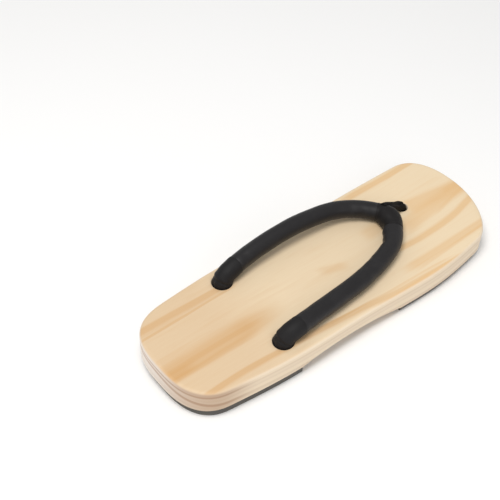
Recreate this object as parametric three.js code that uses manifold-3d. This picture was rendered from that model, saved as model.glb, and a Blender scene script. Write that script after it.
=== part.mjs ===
// Right-foot flat geta: a wooden board on two rubber pads, with a padded cloth strap.
// Units are millimetres. +X points to the toe, +Y to the inner side of the foot, +Z up.
// The origin lies on the floor, in the middle of the board's outline.

import * as THREE from 'three';
import { mergeVertices } from 'three/addons/utils/BufferGeometryUtils.js';
import Module from 'manifold-3d';

const wasm = await Module();
wasm.setup();

// Board sizes
const boardLength = 262;
const ballWidth = 92.4;
const heelHeight = 24.1;          // floor to tread at the heel end
const waistHeight = 20.4;         // floor to tread half way along
const toeHeight = 19.7;           // floor to tread at the toe end
const topEdgeRadius = 2.4;
const bottomEdgeChamfer = 0.5;
const archRise = 4.1;             // how far the waist is hollowed above a line between the pads
const archPeakShare = 0.42;       // where the hollow is deepest, from the heel pad

// Plan of the board: half widths and tip places as shares of the ball width
const plan = [
  { along: 0.00, inner: 0.396, outer: 0.385 },
  { along: 0.25, inner: 0.463, outer: 0.466 },
  { along: 0.50, inner: 0.480, outer: 0.478 },
  { along: 0.75, inner: 0.499, outer: 0.498 },
  { along: 1.00, inner: 0.493, outer: 0.398 },
];
const heelTipShare = -0.019;
const toeTipShare = 0.095;

// Rounding of the four corners of the plan: its length and how square it is
const corners = {
  heelInner: { length: 33, squareness: 2.9 },
  heelOuter: { length: 25.6, squareness: 2.62 },
  toeInner: { length: 25.7, squareness: 2.41 },
  toeOuter: { length: 29.4, squareness: 1.93 },
};

// Rubber pads
const heelPadThickness = 6.6;
const forePadThickness = 4.5;
const heelPadLength = 77;
const forePadLength = 103;
const padSideInset = 1.5;
const heelPadEndInset = 2.3;
const forePadEndInset = 3;
const padEdgeChamfer = 0.4;

// Holes of the board, and the knot recesses under them
const rearHoleFromHeel = 71.4;
const rearHoleInnerMargin = 12.1; // from the board's inner side to the middle of the inner hole
const rearHoleOuterMargin = 14.2; // the same for the outer hole
const frontHoleFromToe = 49.7;
const frontHoleShare = 0.130;     // place across, as a share of the ball width
const rearHoleRadius = 6.9;
const frontHoleRadius = 4.6;
const rimBevel = 0.6;             // bevel round each hole at the tread
const recessRadius = 8.2;
const recessDepth = 6;
const padCutClearance = 0.6;      // the pads stand back this far from a recess

// Strap
const strapDiameter = 12.2;
const bendFromFrontHole = 19.9;   // how far the end of the strap's run stops short of the hole
const clearance = 0.3;            // between pieces that touch
const coverLength = 20;           // sewn end cover at each rear end, with the neck
const coverStep = 0.35;           // how far the end cover stands proud of the strap
const neckLength = 6.5;           // gathered cloth that goes down into the hole
const neckSwell = 0.2;            // how far the gathered neck stands out from the strap
const neckDepth = 4.5;            // how deep the neck goes into the hole
const shoulder = 0.4;             // length of a step between two widths of the strap

// Run of the strap from the rear holes to its bend: along as a share of its reach,
// across as a share of half the way between the holes, rise as a share of the strap's diameter
const outerRun = [
  { along: 0.004, across: -1.002, rise: 0.06 },
  { along: 0.024, across: -1.016, rise: 0.36 },
  { along: 0.074, across: -1.036, rise: 0.57 },
  { along: 0.199, across: -0.991, rise: 0.57 },
  { along: 0.390, across: -0.934, rise: 0.57 },
  { along: 0.583, across: -0.849, rise: 0.56 },
  { along: 0.785, across: -0.648, rise: 0.54 },
  { along: 0.869, across: -0.501, rise: 0.54 },
  { along: 0.937, across: -0.288, rise: 0.54 },
  { along: 0.985, across: -0.042, rise: 0.54 },
];
const bendPoint = { along: 0.999, across: 0.150, rise: 0.54 };
const innerRun = [
  { along: 0.004, across: 1.000, rise: 0.06 },
  { along: 0.024, across: 1.003, rise: 0.37 },
  { along: 0.074, across: 1.016, rise: 0.60 },
  { along: 0.199, across: 1.063, rise: 0.80 },
  { along: 0.390, across: 1.100, rise: 0.93 },
  { along: 0.583, across: 1.083, rise: 0.93 },
  { along: 0.785, across: 0.974, rise: 0.76 },
  { along: 0.898, across: 0.739, rise: 0.66 },
  { along: 0.969, across: 0.480, rise: 0.58 },
  { along: 0.993, across: 0.330, rise: 0.55 },
];

// Toe tie: a cloth sleeve round the bend and a folded strip down to the front hole
const sleeveWall = 1;
const sleeveOuterReach = 12;      // from the middle of the bend, along the outer strap
const sleeveInnerReach = 10;      // from the middle of the bend, along the inner strap
const sleeveSwell = 1.5;          // how far the sleeve stands proud round the middle of the bend
const stripRoot = 4;               // from the middle of the bend to the strip's root
const stripWidth = 7.2;
const stripThickness = 4;
const stripDepth = 6;             // how far the strip goes down into its hole

// Run of the strip from its root to its hole: along as a share of the way, rise as a share of
// the height from the tread to the top of the strap
const stripRun = [
  { along: 0.00, rise: 0.96 },
  { along: 0.30, rise: 0.77 },
  { along: 0.65, rise: 0.40 },
  { along: 0.95, rise: 0.10 },
];

// Cords and knots under the board
const cordRadius = 2.6;
const knotRadius = 5;             // middle of the knot's turns
const knotTurnRadius = 2.6;
const knotTilt = THREE.MathUtils.degToRad(16);
const knotTail = 1;

// Resolution of the faceted surfaces
const cornerSteps = 9;
const sideSteps = 6;
const archSteps = 10;
const edgeSteps = 4;
const tubeSides = 20;
const tubeStep = 3.6;
const cordSides = 12;
const postSides = 32;
const stripSteps = 14;
const bendSamples = 400;
const lengthSamples = 800;

// Values worked out from the sizes above
const heelEnd = -boardLength / 2;
const toeEnd = boardLength / 2;
const heelPadFront = heelEnd + heelPadLength;
const forePadRear = toeEnd - forePadLength;
const rearHoleX = heelEnd + rearHoleFromHeel;
const frontHoleX = toeEnd - frontHoleFromToe;
const strapReach = frontHoleX - bendFromFrontHole - rearHoleX;

const colours = { wood: 0xe6cda4, rubber: 0x4b4b46, strap: 0x29292b, tie: 0x221f20, cord: 0x343232 };

// Smooth value of one column of a table, at a share of the way along
function readTable(rows, column, share) {
  const last = rows.length - 1;
  let i = 0;
  while (i < last - 1 && share > rows[i + 1].along) i += 1;
  const slope = (k) => {
    const before = rows[Math.max(k - 1, 0)];
    const after = rows[Math.min(k + 1, last)];
    return (after[column] - before[column]) / (after.along - before.along);
  };
  const span = rows[i + 1].along - rows[i].along;
  const u = THREE.MathUtils.clamp((share - rows[i].along) / span, 0, 1);
  const a = rows[i][column];
  const b = rows[i + 1][column];
  const blend = (3 - 2 * u) * u * u;
  const pull = slope(i) * (u - 2 * u * u + u ** 3) + slope(i + 1) * (u ** 3 - u * u);
  return a + (b - a) * blend + span * pull;
}

// Height of the tread above the floor
function treadHeight(x) {
  const s = (2 * x) / boardLength;
  const tilt = (toeHeight - heelHeight) / 2;
  const hollow = (toeHeight + heelHeight) / 2 - waistHeight;
  return waistHeight + tilt * s + hollow * s * s;
}

// Height of the board's underside above the floor
function undersideHeight(x) {
  if (x <= heelPadFront) return heelPadThickness;
  if (x >= forePadRear) return forePadThickness;
  const share = (x - heelPadFront) / (forePadRear - heelPadFront);
  const skewed = share ** (Math.log(0.5) / Math.log(archPeakShare));
  const line = THREE.MathUtils.lerp(heelPadThickness, forePadThickness, share);
  return line + archRise * 4 * skewed * (1 - skewed);
}

// Half width of the board on one side, before its corners are rounded
function sideHalfWidth(column, x) {
  return ballWidth * readTable(plan, column, (x - heelEnd) / boardLength);
}

// One side of the plan, from the heel tip to the toe tip, without the tips themselves
function sideOfPlan(column, sign, heelCorner, toeCorner) {
  const points = [];
  const widthAt = (x) => sign * sideHalfWidth(column, x);
  const cornerPoint = (angle, corner, end, tip) => {
    const u = Math.cos(angle) ** (2 / corner.squareness);
    const k = Math.sin(angle) ** (2 / corner.squareness);
    const inward = end < 0 ? 1 : -1;
    const x = end + inward * corner.length * (1 - u);
    return new THREE.Vector2(x, tip + (widthAt(x) - tip) * k);
  };
  for (let i = 1; i <= cornerSteps; i += 1) {
    const angle = (i / cornerSteps) * (Math.PI / 2);
    points.push(cornerPoint(angle, heelCorner, heelEnd, heelTipShare * ballWidth));
  }
  const stops = [heelEnd + heelCorner.length, heelPadFront, forePadRear, toeEnd - toeCorner.length];
  const steps = [sideSteps, archSteps, sideSteps];
  for (let part = 0; part < steps.length; part += 1) {
    for (let i = 1; i <= steps[part]; i += 1) {
      const x = THREE.MathUtils.lerp(stops[part], stops[part + 1], i / steps[part]);
      points.push(new THREE.Vector2(x, widthAt(x)));
    }
  }
  for (let i = cornerSteps - 1; i >= 1; i -= 1) {
    const angle = (i / cornerSteps) * (Math.PI / 2);
    points.push(cornerPoint(angle, toeCorner, toeEnd, toeTipShare * ballWidth));
  }
  return points;
}

// Whole plan as a closed loop, anticlockwise from above, starting at the heel tip
function planLoop() {
  const outer = sideOfPlan('outer', -1, corners.heelOuter, corners.toeOuter);
  const inner = sideOfPlan('inner', 1, corners.heelInner, corners.toeInner);
  const heelTip = new THREE.Vector2(heelEnd, heelTipShare * ballWidth);
  const toeTip = new THREE.Vector2(toeEnd, toeTipShare * ballWidth);
  const loop = [heelTip, ...outer, toeTip, ...inner.reverse()];
  const across = loop.map((p) => p.y);
  const middle = (Math.max(...across) + Math.min(...across)) / 2;
  return { loop: loop.map((p) => new THREE.Vector2(p.x, p.y - middle)), middle };
}

const { loop: boardPlan, middle: planMiddle } = planLoop();

function innerSide(x) {
  return sideHalfWidth('inner', x) - planMiddle;
}

function outerSide(x) {
  return -sideHalfWidth('outer', x) - planMiddle;
}

// Outward normal of the loop at one of its points
function loopNormal(loop, i) {
  const before = loop[(i + loop.length - 1) % loop.length];
  const after = loop[(i + 1) % loop.length];
  return new THREE.Vector2(after.y - before.y, before.x - after.x).normalize();
}

// Plate between rings of one loop: each layer says how far it is set in and how high it lies
function plate(loop, layers) {
  const count = loop.length;
  const positions = [];
  const faces = [];
  for (const layer of layers) {
    loop.forEach((point, i) => {
      const normal = loopNormal(loop, i);
      const inset = layer.inset(normal);
      const x = point.x - normal.x * inset;
      const y = point.y - normal.y * inset;
      positions.push(x, y, layer.height(x));
    });
  }
  for (let row = 0; row < layers.length - 1; row += 1) {
    for (let i = 0; i < count; i += 1) {
      const a = row * count + i;
      const b = row * count + ((i + 1) % count);
      faces.push(a, b, b + count, a, b + count, a + count);
    }
  }
  const top = (layers.length - 1) * count;
  for (let i = 0; i < count / 2; i += 1) {
    const mirror = (count - i) % count;
    const next = i + 1;
    const nextMirror = count - next;
    faces.push(top + i, top + next, top + nextMirror);
    faces.push(mirror, nextMirror, next);
    if (i > 0) {
      faces.push(top + i, top + nextMirror, top + mirror);
      faces.push(mirror, next, i);
    }
  }
  return indexed(positions, faces);
}

function indexed(positions, faces) {
  const geometry = new THREE.BufferGeometry();
  geometry.setAttribute('position', new THREE.Float32BufferAttribute(positions, 3));
  const used = [];
  for (let i = 0; i < faces.length; i += 3) {
    const [a, b, c] = [faces[i], faces[i + 1], faces[i + 2]];
    if (a !== b && b !== c && c !== a) used.push(a, b, c);
  }
  geometry.setIndex(used);
  return geometry;
}

// Tube through rings of equal count, closed at both ends by a fan
function tube(rings) {
  const count = rings[0].length;
  const positions = rings.flat().flatMap((p) => [p.x, p.y, p.z]);
  const faces = [];
  for (let row = 0; row < rings.length - 1; row += 1) {
    for (let i = 0; i < count; i += 1) {
      const a = row * count + i;
      const b = row * count + ((i + 1) % count);
      faces.push(a, b, b + count, a, b + count, a + count);
    }
  }
  const lastRow = (rings.length - 1) * count;
  for (let i = 1; i < count - 1; i += 1) {
    faces.push(0, i + 1, i);
    faces.push(lastRow, lastRow + i, lastRow + i + 1);
  }
  return indexed(positions, faces);
}

// Rings along a curve, one for each stop: its share of the way, half width and half height
function sweep(curve, stops, startSide, sides) {
  const side = startSide.clone();
  return stops.map(({ share, halfWidth, halfHeight }) => {
    const centre = curve.getPointAt(share);
    const direction = curve.getTangentAt(share);
    side.addScaledVector(direction, -side.dot(direction)).normalize();
    const up = direction.clone().cross(side);
    return Array.from({ length: sides }, (_, i) => {
      const angle = (i / sides) * Math.PI * 2;
      const point = centre.clone().addScaledVector(side, halfWidth * Math.cos(angle));
      return point.addScaledVector(up, halfHeight * Math.sin(angle));
    });
  });
}

function toSolid(geometry) {
  const bare = geometry.clone();
  bare.deleteAttribute('normal');
  bare.deleteAttribute('uv');
  const merged = mergeVertices(bare, 1e-5);
  return new wasm.Manifold(new wasm.Mesh({
    numProp: 3,
    vertProperties: new Float32Array(merged.attributes.position.array),
    triVerts: new Uint32Array(merged.index.array),
  }));
}

function toMesh(solid, name, colour, roughness) {
  const result = solid.getMesh();
  const geometry = new THREE.BufferGeometry();
  geometry.setAttribute('position', new THREE.BufferAttribute(result.vertProperties, 3));
  geometry.setIndex(new THREE.BufferAttribute(result.triVerts, 1));
  geometry.computeVertexNormals();
  const material = new THREE.MeshStandardMaterial({ color: colour, roughness, metalness: 0 });
  const mesh = new THREE.Mesh(geometry, material);
  mesh.name = name;
  return mesh;
}

// Upright cylinder between two heights, or a cone when its top radius differs
function post(x, y, radius, low, high, sides = postSides, topRadius = radius) {
  const geometry = new THREE.CylinderGeometry(topRadius, radius, high - low, sides);
  geometry.rotateX(Math.PI / 2);
  geometry.translate(x, y, (low + high) / 2);
  return toSolid(geometry);
}

function block(low, high) {
  const geometry = new THREE.BoxGeometry(high.x - low.x, high.y - low.y, high.z - low.z);
  geometry.translate((low.x + high.x) / 2, (low.y + high.y) / 2, (low.z + high.z) / 2);
  return toSolid(geometry);
}

// The three holes: the rear ones keep their margins from the board's sides
const holes = {
  inner: { x: rearHoleX, y: innerSide(rearHoleX) - rearHoleInnerMargin, radius: rearHoleRadius },
  outer: { x: rearHoleX, y: outerSide(rearHoleX) + rearHoleOuterMargin, radius: rearHoleRadius },
  front: { x: frontHoleX, y: frontHoleShare * ballWidth - planMiddle, radius: frontHoleRadius },
};
const holeMiddle = (holes.inner.y + holes.outer.y) / 2;
const holeReach = (holes.inner.y - holes.outer.y) / 2;

// Layers of the board, from its foot over the side and the rounded edge to the tread
function boardLayers(lift) {
  const layers = [
    { inset: () => bottomEdgeChamfer, height: undersideHeight },
    { inset: () => 0, height: (x) => undersideHeight(x) + bottomEdgeChamfer },
  ];
  for (let i = 0; i <= edgeSteps; i += 1) {
    const angle = (i / edgeSteps) * (Math.PI / 2);
    const inset = topEdgeRadius * (1 - Math.cos(angle));
    const drop = topEdgeRadius * (1 - Math.sin(angle));
    layers.push({ inset: () => inset, height: (x) => treadHeight(x) + lift - drop });
  }
  return layers;
}

// Height of the roof of the knot recess under a hole
function recessTop(x) {
  return undersideHeight(x) + recessDepth;
}

// The board; with a swell it is the room that straps keep clear of, at its tread and holes
function makeBoard(swell) {
  let board = toSolid(plate(boardPlan, boardLayers(swell)));
  for (const { x, y, radius } of Object.values(holes)) {
    const rim = treadHeight(x) + swell;
    const low = rim - rimBevel;
    const high = rim + rimBevel;
    const bore = radius - swell;
    board = board.subtract(post(x, y, bore, 0, high));
    board = board.subtract(post(x, y, bore, low, high, postSides, bore + 2 * rimBevel));
    board = board.subtract(post(x, y, recessRadius, 0, recessTop(x)));
  }
  return board;
}

const board = makeBoard(0);
const strapRoom = makeBoard(clearance);

// Pad cut from the plan between two stations, open round the knots
function makePad(start, end, thickness, endInset) {
  const inset = (normal) => padSideInset + (endInset - padSideInset) * normal.x ** 2;
  const layers = [
    { inset: (normal) => inset(normal) + padEdgeChamfer, height: () => 0 },
    { inset, height: () => padEdgeChamfer },
    { inset, height: () => thickness },
  ];
  let pad = toSolid(plate(boardPlan, layers));
  const low = new THREE.Vector3(start, -ballWidth, -thickness);
  const high = new THREE.Vector3(end, ballWidth, 2 * thickness);
  pad = pad.intersect(block(low, high));
  const radius = recessRadius + padCutClearance;
  for (const hole of Object.values(holes)) {
    pad = pad.subtract(post(hole.x, hole.y, radius, -thickness, 2 * thickness));
  }
  return pad;
}

// Centre line of the strap, from inside the outer rear hole round the bend to the inner one
function strapPoint(row) {
  const x = rearHoleX + row.along * strapReach;
  const y = holeMiddle + row.across * holeReach;
  return new THREE.Vector3(x, y, treadHeight(x) + row.rise * strapDiameter);
}

function holePoint(hole, depth) {
  return new THREE.Vector3(hole.x, hole.y, treadHeight(hole.x) - depth);
}

const strapCurve = new THREE.CatmullRomCurve3([
  holePoint(holes.outer, neckDepth),
  ...outerRun.map(strapPoint),
  strapPoint(bendPoint),
  ...innerRun.map(strapPoint).reverse(),
  holePoint(holes.inner, neckDepth),
], false, 'centripetal');
strapCurve.arcLengthDivisions = lengthSamples;
const strapLength = strapCurve.getLength();

// Distance along the strap at which it is nearest to the middle of its bend
function findBend() {
  const target = strapPoint(bendPoint);
  const gaps = Array.from({ length: bendSamples + 1 }, (_, i) => (
    strapCurve.getPointAt(i / bendSamples).distanceTo(target)));
  return (gaps.indexOf(Math.min(...gaps)) / bendSamples) * strapLength;
}

const bendAt = findBend();
const sleeveStart = bendAt - sleeveOuterReach;
const sleeveEnd = bendAt + sleeveInnerReach;

// How far the strap stands proud of its own width at a distance along it, most at its bend
function swellAt(distance) {
  const reach = distance < bendAt ? sleeveOuterReach : sleeveInnerReach;
  const off = Math.min(1, Math.abs(distance - bendAt) / reach);
  return sleeveSwell * (1 + Math.cos(Math.PI * off)) / 2;
}

// Stops of a round run along the strap, no further apart than the tube step
function strapStops(start, end, radius) {
  const count = Math.max(1, Math.ceil((end - start) / tubeStep));
  return Array.from({ length: count + 1 }, (_, i) => {
    const distance = THREE.MathUtils.lerp(start, end, i / count);
    const reach = radius + swellAt(distance);
    return { share: distance / strapLength, halfWidth: reach, halfHeight: reach };
  });
}

function makeStrap() {
  const radius = strapDiameter / 2;
  const neck = radius + neckSwell;
  const cover = radius + coverStep;
  const core = radius - sleeveWall - clearance;
  const stops = [
    ...strapStops(0, neckLength, neck),
    ...strapStops(neckLength + 2 * shoulder, coverLength, cover),
    ...strapStops(coverLength + shoulder, sleeveStart - shoulder, radius),
    ...strapStops(sleeveStart - clearance, sleeveEnd + clearance, core),
    ...strapStops(sleeveEnd + shoulder, strapLength - coverLength - shoulder, radius),
    ...strapStops(strapLength - coverLength, strapLength - neckLength - 2 * shoulder, cover),
    ...strapStops(strapLength - neckLength, strapLength, neck),
  ];
  const rings = sweep(strapCurve, stops, new THREE.Vector3(0, 1, 0), tubeSides);
  return toSolid(tube(rings)).subtract(strapRoom);
}

// Sleeve round the bend, with the folded strip that runs down into the front hole
function makeToeTie() {
  const radius = strapDiameter / 2;
  const side = new THREE.Vector3(0, 0, 1);
  const around = strapStops(sleeveStart, sleeveEnd, radius);
  const within = strapStops(sleeveStart - clearance, sleeveEnd + clearance, radius - sleeveWall);
  const sleeve = toSolid(tube(sweep(strapCurve, around, side, tubeSides)));
  const bore = toSolid(tube(sweep(strapCurve, within, side, tubeSides)));
  const root = strapCurve.getPointAt((bendAt + stripRoot) / strapLength);
  const hole = holes.front;
  const top = treadHeight(hole.x);
  const onTheWay = (share, height) => {
    const x = THREE.MathUtils.lerp(root.x, hole.x, share);
    return new THREE.Vector3(x, THREE.MathUtils.lerp(root.y, hole.y, share), height);
  };
  const route = new THREE.CatmullRomCurve3([
    ...stripRun.map((row) => onTheWay(row.along, THREE.MathUtils.lerp(top, root.z + radius, row.rise))),
    holePoint(hole, stripDepth / 2),
    holePoint(hole, stripDepth),
  ], false, 'centripetal');
  const stops = Array.from({ length: stripSteps + 1 }, (_, i) => (
    { share: i / stripSteps, halfWidth: stripWidth / 2, halfHeight: stripThickness / 2 }));
  const strip = toSolid(tube(sweep(route, stops, new THREE.Vector3(0, 1, 0), cordSides)));
  return sleeve.add(strip).subtract(bore).subtract(strapRoom);
}

// Cord end and the knot that holds it in its recess
function makeKnot(hole, cordTop) {
  const seat = recessTop(hole.x) - clearance;
  const lean = knotRadius * Math.sin(knotTilt);
  const middle = seat - knotTurnRadius - lean;
  const profile = [];
  for (let i = 0; i <= cordSides; i += 1) {
    const angle = (i / cordSides) * Math.PI * 2;
    const radius = knotRadius + knotTurnRadius * Math.cos(angle);
    profile.push(new THREE.Vector2(radius, knotTurnRadius * Math.sin(angle)));
  }
  const core = knotTurnRadius / 2;
  let knot = post(hole.x, hole.y, cordRadius, middle - knotTurnRadius - knotTail, cordTop, cordSides);
  knot = knot.add(post(hole.x, hole.y, knotRadius, middle - core, middle + core, cordSides));
  for (const turn of [-1, 1]) {
    const ring = new THREE.LatheGeometry(profile, 2 * cordSides);
    ring.rotateX(Math.PI / 2);
    ring.rotateX(turn * knotTilt);
    ring.translate(hole.x, hole.y, middle);
    knot = knot.add(toSolid(ring));
  }
  return knot;
}

const part = new THREE.Group();
const rearCordTop = treadHeight(rearHoleX) - neckDepth - clearance;
const frontCordTop = treadHeight(frontHoleX) - stripDepth - clearance;
const heelPad = makePad(heelEnd, heelPadFront, heelPadThickness, heelPadEndInset);
const forePad = makePad(forePadRear, toeEnd, forePadThickness, forePadEndInset);

part.add(toMesh(board, 'board', colours.wood, 0.6));
part.add(toMesh(heelPad, 'heel_pad', colours.rubber, 0.9));
part.add(toMesh(forePad, 'fore_pad', colours.rubber, 0.9));
part.add(toMesh(makeStrap(), 'strap', colours.strap, 0.65));
part.add(toMesh(makeToeTie(), 'toe_tie', colours.tie, 0.7));
part.add(toMesh(makeKnot(holes.inner, rearCordTop), 'inner_knot', colours.cord, 0.9));
part.add(toMesh(makeKnot(holes.outer, rearCordTop), 'outer_knot', colours.cord, 0.9));
part.add(toMesh(makeKnot(holes.front, frontCordTop), 'front_knot', colours.cord, 0.9));

export default part;
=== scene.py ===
"""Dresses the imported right-foot flat geta: a pine board on two rubber pads with a padded cloth strap.

Sizes are in millimetres in the sandal's own frame (+X to the toe, +Y to the inner side of the foot,
+Z up from the floor) and become metres where a mesh is made.
"""

import logging
import math
from dataclasses import asdict, dataclass, field
from enum import Enum
from typing import Callable, Iterable, Sequence

import bmesh
import bpy
from mathutils import Euler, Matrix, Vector, noise

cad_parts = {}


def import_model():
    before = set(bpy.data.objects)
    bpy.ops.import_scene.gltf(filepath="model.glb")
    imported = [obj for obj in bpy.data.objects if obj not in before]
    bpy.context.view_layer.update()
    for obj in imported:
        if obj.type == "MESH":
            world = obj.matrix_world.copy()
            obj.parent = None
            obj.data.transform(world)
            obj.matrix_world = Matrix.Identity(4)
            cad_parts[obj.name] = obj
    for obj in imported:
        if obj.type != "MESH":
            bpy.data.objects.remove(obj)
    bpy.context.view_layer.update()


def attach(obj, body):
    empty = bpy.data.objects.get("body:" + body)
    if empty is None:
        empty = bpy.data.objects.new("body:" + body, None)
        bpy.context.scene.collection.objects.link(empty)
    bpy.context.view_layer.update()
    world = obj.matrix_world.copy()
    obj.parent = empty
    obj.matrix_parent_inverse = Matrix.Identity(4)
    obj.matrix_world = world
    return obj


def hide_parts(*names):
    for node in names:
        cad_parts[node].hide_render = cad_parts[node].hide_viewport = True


MM = 0.001
LOG = logging.getLogger("geta")
CLEARANCE = 0.3  # millimetres between pieces that meet
ACROSS = Vector((0.0, 1.0, 0.0))

Colour = tuple[float, float, float, float]
Triple = tuple[float, float, float]
Frame = tuple[Vector, Vector, Vector, float]
Piece = bpy.types.Object
Material = bpy.types.Material
Socket = bpy.types.NodeSocket
Value = "Socket | float | tuple[float, ...]"


class Side(Enum):
    """The two long sides of the board: a column name and a sign across."""

    INNER = ("inner", 1.0)
    OUTER = ("outer", -1.0)

    @property
    def column(self) -> str:
        """Name of the column of the plan table."""
        return self.value[0]

    @property
    def sign(self) -> float:
        """Sign of the across direction."""
        return self.value[1]


class Slot(Enum):
    """Material slots of the record."""

    WOOD = "wood"
    RUBBER = "pad_rubber"
    STRAP = "strap_cloth"
    TIE = "tie_cloth"
    CORD = "cord"


def mix(a: float, b: float, share: float) -> float:
    """Returns the value at a share of the way from a to b."""
    return a + (b - a) * share


def ease(value: float, low: float, high: float) -> float:
    """Returns a smooth step from 0 at the low limit to 1 at the high one."""
    u = min(max((value - low) / (high - low), 0.0), 1.0)
    return u * u * (3 - 2 * u)


def swelling(value: float, middle: float, spread: float) -> float:
    """Returns a soft bump of height 1 round a middle value."""
    return math.exp(-((value - middle) / spread) ** 2)


def round_lip(inwards: float, reach: float) -> float:
    """Returns the share of its full height that a rounded lip has at a distance in from its edge."""
    return math.sqrt(max(0.0, 1 - (1 - min(inwards, reach) / reach) ** 2))


# ---- Meshes ----


class Sketch:
    """Collects vertices and faces in millimetres and turns them into an object."""

    def __init__(self) -> None:
        """Starts an empty sketch."""
        self.points: list[Vector] = []
        self.faces: list[tuple[int, ...]] = []
        self.charts: list[tuple[tuple[float, float], ...]] = []
        self.slots: list[int] = []

    def ring(self, points: Iterable[Vector]) -> list[int]:
        """Adds the points of a ring.

        Args:
            points: Places in millimetres.

        Returns:
            The new points' indices.
        """
        start = len(self.points)
        self.points.extend(Vector(p) for p in points)
        return list(range(start, len(self.points)))

    def circle(self, radius: float, height: float, sides: int, x: float = 0.0, y: float = 0.0) -> list[int]:
        """Adds a level ring round an upright axis and returns the new points' indices."""
        angles = [math.tau * i / sides for i in range(sides)]
        return self.ring(Vector((x + radius * math.cos(a), y + radius * math.sin(a), height)) for a in angles)

    def face(self, corners: Sequence[int], chart: Sequence[tuple[float, float]] = (), slot: int = 0) -> None:
        """Adds one face.

        Args:
            corners: Indices of its points, anticlockwise from outside.
            chart: Cloth coordinates in millimetres, one for each corner.
            slot: Index of its material.
        """
        self.faces.append(tuple(corners))
        self.charts.append(tuple(chart) or ((0.0, 0.0),) * len(corners))
        self.slots.append(slot)

    def bridge(self, low: list[int], high: list[int], start: float = 0.0, step: float = 1.0,
               girth: float = 1.0, slot: int = 0) -> None:
        """Joins two closed rings with a belt of quads.

        Args:
            low: The first ring.
            high: The next ring.
            start: Cloth coordinate along, at the first ring.
            step: Distance to the next ring.
            girth: Cloth length all the way round.
            slot: Index of the material.
        """
        count = len(low)
        for i in range(count):
            j = (i + 1) % count
            left, right = girth * i / count, girth * (i + 1) / count
            chart = ((start, left), (start, right), (start + step, right), (start + step, left))
            self.face((low[i], low[j], high[j], high[i]), chart, slot)

    def close(self, ring: list[int], facing: float, slot: int = 0) -> None:
        """Closes a ring with a fan round its middle.

        Args:
            ring: The ring.
            facing: 1 keeps the ring's turn and -1 reverses it.
            slot: Index of the material.
        """
        middle = sum((self.points[i] for i in ring), Vector()) / len(ring)
        tip = self.ring([middle])[0]
        for i, a in enumerate(ring):
            b = ring[(i + 1) % len(ring)]
            self.face((a, b, tip) if facing > 0 else (b, a, tip), slot=slot)

    def to_object(self, name: str, crease: float = 38.0) -> Piece:
        """Makes the object, with smooth faces and sharp edges past an angle.

        Args:
            name: The piece's name.
            crease: Angle in degrees past which an edge stays sharp.

        Returns:
            The new object, linked to the scene.
        """
        mesh = bpy.data.meshes.new(name)
        mesh.from_pydata([p * MM for p in self.points], [], self.faces)
        cloth = mesh.uv_layers.new(name="cloth")
        corner = 0
        for chart in self.charts:
            for u, v in chart:
                cloth.data[corner].uv = (u, v)
                corner += 1
        mesh.polygons.foreach_set("material_index", self.slots)
        piece = bpy.data.objects.new(name, mesh)
        bpy.context.scene.collection.objects.link(piece)
        soften(piece, crease)
        return piece


def soften(piece: Piece, crease: float) -> None:
    """Smooths an object's faces and keeps its hard edges.

    Args:
        piece: The object.
        crease: Angle in degrees past which an edge stays sharp.
    """
    work = bmesh.new()
    work.from_mesh(piece.data)
    bmesh.ops.remove_doubles(work, verts=work.verts, dist=0.002 * MM)
    limit = math.radians(crease)
    for face in work.faces:
        face.smooth = True
    for edge in work.edges:
        edge.smooth = len(edge.link_faces) == 2 and edge.calc_face_angle(0.0) < limit
    work.to_mesh(piece.data)
    work.free()


def cut(piece: Piece, tool: Piece, way: str = "DIFFERENCE") -> None:
    """Cuts a piece with a closed tool, which is then removed.

    Args:
        piece: The object to cut.
        tool: The cutting object.
        way: Kind of boolean.
    """
    modifier = piece.modifiers.new("cut", "BOOLEAN")
    modifier.object = tool
    modifier.operation = way
    modifier.solver = "EXACT"
    graph = bpy.context.evaluated_depsgraph_get()
    graph.update()
    shaped = bpy.data.meshes.new_from_object(piece.evaluated_get(graph))
    piece.modifiers.clear()
    old = piece.data
    piece.data = shaped
    bpy.data.meshes.remove(old)
    bpy.data.objects.remove(tool)


def lathe(name: str, profile: Sequence[tuple[float, float]], x: float, y: float, sides: int = 72) -> Piece:
    """Turned closed solid round an upright axis, used as a cutter.

    Args:
        name: The object's name.
        profile: Radius and height from the bottom up.
        x: Place of the axis along the board.
        y: Place of the axis across the board.
        sides: Number of sides.

    Returns:
        The new object.
    """
    sketch = Sketch()
    rings = [sketch.circle(radius, height, sides, x, y) for radius, height in profile]
    for low, high in zip(rings, rings[1:]):
        sketch.bridge(low, high)
    sketch.close(rings[0], -1)
    sketch.close(rings[-1], 1)
    return sketch.to_object(name)


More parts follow.
